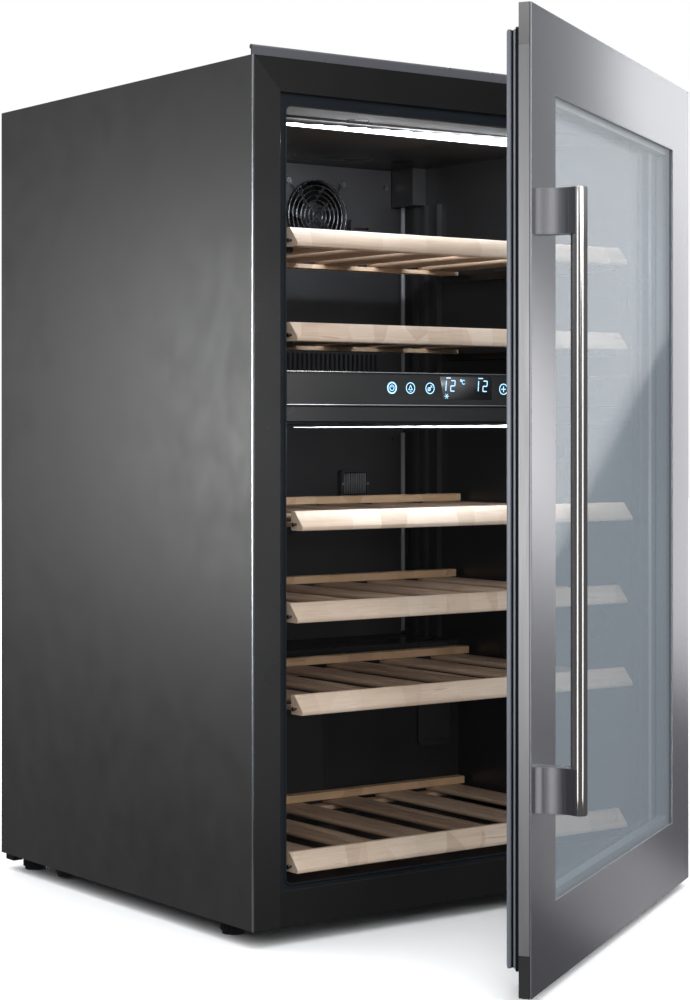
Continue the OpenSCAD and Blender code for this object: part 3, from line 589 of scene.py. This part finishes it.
def small_marks(bm):
    """A degree sign, a C and a six-armed star."""
    lines = [arc(MID - 8.5, 546.2, 1.0, 0, 360, 10), arc(MID - 5, 544.4, 2.1, 50, 310, 10)]
    for turn in (0, 60, 120):
        t = math.radians(turn)
        dx, dz = 2.6 * math.cos(t), 2.6 * math.sin(t)
        lines.append([(MID - 28 - dx, 529.4 - dz), (MID - 28 + dx, 529.4 + dz)])
    strokes(bm, lines, 0.6)


def icons(bm):
    """Six rings, each with a simple sign: power, bell, slash, plus, minus and lamp."""
    near, next_out, far = ICON_STEPS
    for d in ICON_STEPS:
        for side in (-1, 1):
            width = 1.3 if (side, d) == (-1, far) else 0.75
            strokes(bm, [arc(MID + side * d, ICON_Z, ICON_R, 0, 360, 28)], width)
    z = ICON_Z
    x = MID - far
    strokes(bm, [arc(x, z, 2.7, 125, 415, 16), [(x, z + 0.6), (x, z + 3.4)]], 0.8)
    x = MID - next_out
    bell = [(x - 2.4, z - 1.6), (x, z + 3), (x + 2.4, z - 1.6), (x - 2.4, z - 1.6)]
    strokes(bm, [bell, [(x - 1, z - 3.2), (x + 1, z - 3.2)]], 0.6)
    x = MID - near
    slash = [(x - 2.6, z - 2.6), (x + 2.6, z + 2.6)]
    strokes(bm, [slash, arc(x - 1.1, z - 0.9, 1.7, 0, 360, 12), [(x + 1, z + 2.8), (x + 2.8, z + 1)]], 0.6)
    x = MID + near
    strokes(bm, [[(x - 2.6, z), (x + 2.6, z)], [(x, z - 2.6), (x, z + 2.6)]], 0.9)
    x = MID + next_out
    strokes(bm, [[(x - 2.6, z), (x + 2.6, z)]], 0.9)
    x = MID + far
    cap = [[(x - 1.2, z - 2), (x + 1.2, z - 2)], [(x - 1, z - 3.2), (x + 1, z - 3.2)]]
    strokes(bm, [arc(x, z + 0.8, 2, -50, 230, 12)] + cap, 0.6)


def window(bm):
    outline = [(MID - 37, 549.8), (MID + 34, 549.8), (MID + 34, 526), (MID - 32, 526)]
    prism(bm, outline, face - 0.1, face, "y")


piece("display_digits", "cabinet", "display_blue", digits, replaces=("display",))
piece("display_marks", "cabinet", "display_blue", small_marks)
piece("touch_symbols", "cabinet", "display_blue", icons)
piece("display_window", "cabinet", "display_smoke", window)
piece("panel_lines", "cabinet", "divider_edge", panel_lines)

# the two lamps: a dark case with a glowing strip that widens towards the hinge side
CASES = (((70, 62, 817.7), (488, 92, 818)), ((60, 14, 499.6), (498, 30, 500)))
GLOWS = ((72, 430, 62, 91, 811.6, 6, 0.25), (68, 405, 14, 29, 496.6, 3, 0.02))
DIODES = 13
SCALLOP = ((2, 0.8), (13, 1.0), (24, 0.8))  # how far along a diode's length, and how full there


def lamp_case(bm):
    for a, b in CASES:
        brick(bm, a, b)


def lamp_glow(bm):
    """The lit part: a sloping sheet, narrow by the latch side and scalloped by its diodes."""
    for x0, x1, near, far, low_z, rise, thin in GLOWS:
        stations = []
        for k in range(DIODES):
            for step, part in SCALLOP:
                share = (thin + (1 - thin) * k / (DIODES - 1)) * part
                x = x0 + (x1 - x0) * k / DIODES + step
                y, z = far - (far - near) * share, low_z + rise * share
                corner = [(x, far, low_z), (x, y, z), (x, y, z + 0.2), (x, far, low_z + 0.2)]
                stations.append([bm.verts.new(c) for c in corner])
        for one, two in zip(stations, stations[1:]):
            for i in range(4):
                bm.faces.new((one[i], one[(i + 1) % 4], two[(i + 1) % 4], two[i]))
        bm.faces.new(stations[0][::-1])
        bm.faces.new(stations[-1])


piece("lamp_cases", "cabinet", "led_case", lamp_case, replaces=("led_bars",))
piece("lamp_glow", "cabinet", "led_white", lamp_glow)

# ---------------------------------------------------------------- the door

skin_low, skin_high = span("door_skin", DOOR)
pane_low, pane_high = span("door_glass_outer", DOOR)
PANE_LAP = 8  # how far the steel covers the pane's edge
sheet = (skin_low[0], skin_low[2], skin_high[0], skin_high[2])
opening = inset((pane_low[0], pane_low[2], pane_high[0], pane_high[2]), PANE_LAP)
front, rear = skin_low[1], skin_high[1]


def door_front(bm):
    hoop(bm, [(sheet, 0.6, front), (opening, 1, front), (opening, 1, rear), (sheet, 0.6, rear)])


piece("door_front", "door", "door_steel", door_front, DOOR, bevel=0.7, steps=3, replaces=("door_skin",))

bar_low, bar_high = span("handle_bar", DOOR)
bar_r = (bar_high[0] - bar_low[0]) / 2
bar_x, bar_y = bar_low[0] + bar_r, bar_low[1] + bar_r


def bar(bm):
    profile = [(bar_r - 1.1, bar_low[2]), (bar_r - 0.35, bar_low[2] + 0.3), (bar_r, bar_low[2] + 1.1)]
    profile += [(bar_r, bar_low[2] + 1.1 + (bar_high[2] - bar_low[2] - 2.2) * k / 12) for k in range(1, 12)]
    profile += [(bar_r, bar_high[2] - 1.1), (bar_r - 0.35, bar_high[2] - 0.3), (bar_r - 1.1, bar_high[2])]
    lathe(bm, profile, (bar_x, bar_y, 0), steps=72)


piece("handle_rod", "door", "bar_steel", bar, DOOR, replaces=("handle_bar",))

post_low, post_high = span("handle_posts", DOOR)
POST_W, POST_H = 20, 41
post_x0 = bar_x - POST_W / 2


def posts(bm):
    """Two posts, round where they hold the bar and hollowed along the side by the latch."""
    outline = [(post_x0, front), (post_x0 + POST_W, front), (post_x0 + POST_W, bar_y)]
    outline += arc(bar_x, bar_y, bar_r + 0.05, 0, 180, 16)
    outline += [(post_x0, bar_y)]
    outline += arc(post_x0 - 43.9, front - 22, 46.9, -20.5, 20.5, 12)
    for z in (post_low[2], post_high[2] - POST_H):
        prism(bm, outline, z, z + POST_H)


piece("handle_feet", "door", "post_metal", posts, DOOR, bevel=0.5, replaces=("handle_posts",))

seal_low, seal_high = span("door_gasket", DOOR)
seal_box = (seal_low[0], seal_low[2], seal_high[0], seal_high[2])
foot, tip = seal_low[1], seal_high[1]


def seal_ring(bm, profile):
    """A profile of (distance in from the seal's outside, y) carried round the door."""
    hoop(bm, [(inset(seal_box, d), 1.5, y) for d, y in profile])


def gasket(bm):
    """Two bellows, one behind the other, with a waist between them."""
    first = [(2, foot), (0.4, foot + 0.8), (0, foot + 2.2), (0.5, foot + 3.8), (2.6, foot + 4.6)]
    second = [(2.6, foot + 5.6), (0.6, foot + 6.2), (0, foot + 7.4), (0.2, tip - 1.0), (1.4, tip - 0.1)]
    top = [(3, tip), (11, tip), (13, tip - 0.4), (14, tip - 1.8), (13.4, foot + 6.4), (11.5, foot + 5.6)]
    back = [(11.5, foot + 4.6), (13.6, foot + 3.8), (14, foot + 2), (13, foot + 0.4), (12, foot)]
    seal_ring(bm, first + second + top + back)


def gasket_folds(bm):
    """Painted shadow: dark strips laid in the seal's waist and at its foot, where shade falls."""
    for y0, y1 in ((foot + 4.3, foot + 6.1), (foot - 0.1, foot + 0.9)):
        seal_ring(bm, [(0.9, y0), (0.9, y1), (9, y1), (9, y0)])


piece("gasket_bellows", "door", "gasket_rubber", gasket, DOOR, replaces=("door_gasket",))
piece("gasket_folds", "door", "fold_rubber", gasket_folds, DOOR)

# ---------------------------------------------------------------- the shelves


SHELVES, SLATS, SLAT_PITCH = 6, 6, 77
SLAT_W, SLAT_T = 42, 6
LEDGE_LOW, LEDGE_TOP, RAIL_FOOT = 3, 8, 14.05  # heights above the front board's foot
SLOPE = 13.5  # how far the slanted face leans back


def board_profile(depth, slope, height, r=1.4):
    """Side outline of a front board in Y and Z: an upright lip, a slanted face and rounded edges."""
    lean = math.degrees(math.atan2(height - 4, slope))
    return (
        arc(r, r, r, 270, 180, 4)
        + [(0, 3.4), (0.25, 4.4)]
        + arc(slope + 0.9, height - r, r, 90 + lean * 0.9, 90, 4)
        + arc(depth - r, height - r, r, 90, 0, 4)
        + arc(depth - r, r, r, 0, -90, 4)
    )


def slat_profile(x, z):
    """Cross-section of a slat in X and Z: full round sides and two fine flutes on top."""
    r = SLAT_T / 2
    out = arc(x + SLAT_W / 2 - r, z + r, r, -90, 90, 8)
    for k in (1, -1):
        out += arc(x + k * SLAT_W / 6, z + SLAT_T + 0.6, 1.4, -26, -154, 6)
    return out + arc(x - SLAT_W / 2 + r, z + r, r, 90, 270, 8)


for i in range(1, SHELVES + 1):
    low_f, high_f = span(f"shelf_{i}_front")
    low_r, high_r = span(f"shelf_{i}_rack")
    y0, z0 = low_f[1], low_f[2]

    def front_board(bm):
        outline = board_profile(high_f[1] - low_f[1], SLOPE, high_f[2] - low_f[2])
        prism(bm, [(y0 + y, z0 + z) for y, z in outline], low_f[0], high_f[0], "x")

    def slats(bm):
        mid = (low_r[0] + high_r[0]) / 2
        for k in range(SLATS):
            outline = slat_profile(mid + (k - (SLATS - 1) / 2) * SLAT_PITCH, z0 + LEDGE_TOP)
            prism(bm, outline, high_f[1] + 0.1, high_r[1] - 0.2, "y")

    def ledges(bm):
        for near, far in ((high_f[1], high_f[1] + 16), (high_r[1] - 18, high_r[1])):
            brick(bm, (low_r[0], near, z0 + LEDGE_LOW), (high_r[0], far, z0 + LEDGE_TOP))

    def rail(bm):
        brick(bm, (low_r[0], high_r[1] - 14, z0 + RAIL_FOOT), (high_r[0], high_r[1], high_r[2]))

    def pins(bm):
        profile = [(1.2, 0), (1.2, 3.2), (2.1, 3.3), (2.3, 3.9), (1.9, 4.6), (0.8, 4.9)]
        for side, x in ((-1, low_f[0]), (1, high_f[0])):
            lathe(bm, [(r, side * h) for r, h in profile], (x, y0 + 11, z0 + 6.2), "x", 20)

    body = f"shelf_{i}"
    piece(f"board_{i}", body, "shelf_beech", front_board, bevel=0.3, replaces=(f"shelf_{i}_front",))
    piece(f"slats_{i}", body, "slat_wood", slats, bevel=0.4, angle=50, replaces=(f"shelf_{i}_rack",))
    piece(f"ledges_{i}", body, "ledge_wood", ledges, bevel=0.6)
    piece(f"rail_{i}", body, "rail_wood", rail, bevel=1.0, steps=3)
    piece(f"pins_{i}", body, "screw_steel", pins)

# ---------------------------------------------------------------- camera, floor and light

FLOOR_R = 14
GROUND_TONE, SKY_TONE, SKY_FROM = (0.1, 0.1, 0.105), (0.5, 0.52, 0.55), 0.6
scene = bpy.context.scene
scene.view_settings.view_transform = "Standard"

camera = bpy.data.objects.new("camera", bpy.data.cameras.new("camera"))
camera.location = (-1.5283, -2.1342, 0.5151)
camera.rotation_euler = (math.radians(90), 0, math.radians(-36.201))
camera.data.lens = 81.557
camera.data.sensor_width = 36
camera.data.shift_x = 0.0086
camera.data.shift_y = -0.073
camera.data.clip_end = 100
scene.collection.objects.link(camera)
scene.camera = camera

bm = bmesh.new()
bmesh.ops.create_circle(bm, cap_ends=True, segments=96, radius=FLOOR_R)
floor = bpy.data.objects.new("floor", bpy.data.meshes.new("floor"))
bm.to_mesh(floor.data)
bm.free()
floor.data.materials.append(Finish("floor_pale", (0.9, 0.9, 0.9), 0.7).material)
scene.collection.objects.link(floor)
floor.visible_glossy = False
floor.visible_diffuse = False

# the camera sees plain white; everything else is lit from a sky that darkens towards the ground
world = bpy.data.worlds.new("studio")
world.use_nodes = True
scene.world = world
tree = world.node_tree
seen, lit = tree.nodes.new("ShaderNodeBackground"), tree.nodes["Background"]
seen.inputs["Color"].default_value = (1, 1, 1, 1)
height = tree.nodes.new("ShaderNodeSeparateXYZ")
shade = tree.nodes.new("ShaderNodeValToRGB")
for element, where, tone in zip(shade.color_ramp.elements, (0.0, SKY_FROM), (GROUND_TONE, SKY_TONE)):
    element.position = where
    element.color = (*tone, 1)
tree.links.new(tree.nodes.new("ShaderNodeTexCoord").outputs["Generated"], height.inputs["Vector"])
tree.links.new(height.outputs["Z"], shade.inputs["Fac"])
tree.links.new(shade.outputs["Color"], lit.inputs["Color"])
path, both = tree.nodes.new("ShaderNodeLightPath"), tree.nodes.new("ShaderNodeMixShader")
tree.links.new(path.outputs["Is Camera Ray"], both.inputs["Fac"])
tree.links.new(lit.outputs["Background"], both.inputs[1])
tree.links.new(seen.outputs["Background"], both.inputs[2])
tree.links.new(both.outputs["Shader"], tree.nodes["World Output"].inputs["Surface"])


def soft_light(name, at, towards, size, bright, only=(), blocker=None, roll=0.0, colour=(1, 1, 1), body=None):
    """A soft box of a given brightness. It lights only the pieces named; blocker alone shades it."""
    light = bpy.data.lights.new(name, "AREA")
    light.shape = "RECTANGLE"
    light.size, light.size_y = size
    light.energy = bright * math.pi * size[0] * size[1]
    light.color = colour
    o = bpy.data.objects.new(name, light)
    turn = (Vector(towards) - Vector(at)).to_track_quat("-Z", "Y").to_matrix().to_4x4()
    o.matrix_world = Matrix.Translation(at) @ turn @ Matrix.Rotation(math.radians(roll), 4, "Z")
    scene.collection.objects.link(o)
    o.visible_camera = False
    if only:
        lit_pieces = bpy.data.collections.new(name + "_lights")
        for other in only:
            lit_pieces.objects.link(bpy.data.objects[other])
        o.light_linking.receiver_collection = lit_pieces
    if blocker:
        blockers = bpy.data.collections.new(name + "_blocked_by")
        blockers.objects.link(bpy.data.objects[blocker])
        o.light_linking.blocker_collection = blockers
    if body:
        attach(o, body)


STEEL = ("door_front", "handle_feet")
PANES = ("door_glass_outer", "door_glass_inner", "glazing_spacer")
EDGE = ("door_edge_profile", "door_front")
SIDE = ("side_panel_left", "side_panel_right", "edge_trims")
FRONT = ("frame_left", "frame_right", "frame_top", "frame_foot")
PANEL = ("control_glass", "divider_housing", "panel_lines", "display_window")
INSIDE = ("liner_upper", "liner_lower", "duct_cover_upper", "duct_cover_lower", "hump_cover", "step_cover")
INSIDE += ("back_column", "vent_fins", "vent_grille", "sensor_housing", "screws")
REAR = ("back_panel", "back_plate", "back_screws")
WOOD = [f"{kind}_{i}" for kind in ("board", "slats", "rail", "ledges") for i in range(1, SHELVES + 1)]
OUT_OF_THE_WAY = "back_screws"  # as the only blocker, it lets a lamp shine through the floor
COOL, WARM = (0.86, 0.93, 1), (1, 0.95, 0.9)

# name, place, what it faces, size, brightness, and the pieces that it lights, or all of them
SOFT_BOXES = (
    ("front_soft", (-0.6, -4.6, 2.0), (0, -0.2, 0.5), (2.8, 2.2), 3.4, ()),
    ("top_soft", (0, -0.3, 4), (0, 0, 0), (3, 3), 1.6, ()),
    ("rear_soft", (1.7, 3.9, 1.8), (0, 0, 0.4), (3, 2), 1.2, ()),
    ("floor_wash", (0, 0, 9), (0, 0, 0), (40, 40), 1.5, ("floor",)),
    ("right_soft", (4.2, 0.6, 1.1), (0.3, 0, 0.5), (2.6, 2.0), 4.0, ("side_panel_right",)),
    ("left_soft", (-4.5, 0.3, 0.9), (-0.28, 0, 0.45), (2.4, 1.6), 3.0, ("side_panel_left",)),
    ("back_soft", (-0.6, 4.4, 1.6), (0, 0.24, 0.5), (2.6, 2.0), 3.0, REAR),
    ("steel_wide", (-1.6, -3.6, 0.9), (0, -0.45, 0.5), (2.4, 2.4), 0.56, STEEL),
    ("side_card", (-1.72, 1.42, 0.55), (-0.28, -0.14, 0.48), (0.5, 0.62), 12.5, SIDE),
    ("steel_left", (3.0, -0.06, 0.57), (0, -0.06, 0.57), (0.6, 0.5), 2.05, STEEL),
    ("edge_card", (-2.8, -1.3, 0.45), (-0.2, -0.62, 0.45), (1.3, 0.9), 2.2, EDGE),
    ("gasket_card", (-0.95, -0.85, 0.55), (-0.2, -0.6, 0.5), (0.35, 0.35), 16, ("gasket_bellows",)),
    ("cap_card", (-0.95, -0.85, 1.35), (-0.2, -0.6, 0.8), (0.3, 0.3), 110, ("door_end_caps",)),
    ("bar_left", (-2.6, -1.95, 0.5), (-0.05, -0.68, 0.5), (0.75, 3.4), 2.0, ("handle_rod", "handle_feet")),
    ("bar_front", (0.4, -3.6, 0.5), (-0.05, -0.68, 0.5), (0.75, 3.4), 2.0, ("handle_rod",)),
    ("front_card", (-0.62, -0.64, 0.55), (-0.25, -0.29, 0.5), (0.25, 0.25), 75, FRONT),
    ("panel_card", (-0.42, -0.5, 0.75), (-0.2, -0.28, 0.55), (0.16, 0.16), 95, PANEL),
)
for row in SOFT_BOXES:
    soft_light(*row)
for name, y, z, size, bright in (
    ("steel_right", 0.97, 0.94, (1.0, 2.12), 1.15),
    ("steel_top_streak", 0.43, 1.3, (0.05, 0.3), 3.6),
    ("steel_low_streak", 0.43, -0.6, (0.05, 0.3), 4.0),
):
    soft_light(name, (3.0, y, z), (0, y, z), size, bright, STEEL, OUT_OF_THE_WAY)
soft_light("pane_card", (3.0, -0.4, 1.56), (0, -0.4, 1.56), (2.4, 5), 1.48, PANES, "floor", roll=-27.3)
soft_light("pane_fill", (0.9, -2.4, 1.2), (0, -0.45, 0.5), (1.2, 1.2), 3.6, PANES, "floor")
soft_light("inner_fill", (-1.1, -2.4, 0.8), (0, 0.1, 0.45), (1.0, 1.0), 6.5, INSIDE, "floor")
soft_light("wood_fill", (-1.5, -2.6, 1.0), (0, -0.1, 0.4), (1.6, 1.2), 4.0, WOOD, colour=WARM)
for name, at, aim, bright in (
    ("led_upper", (290, 77, 811), (279, 160, 600), 75),
    ("led_lower", (290, 22, 494), (279, 90, 300), 21),
):
    soft_light(name, CAB @ Vector(at), CAB @ Vector(aim), (0.39, 0.018), bright, colour=COOL, body="cabinet")
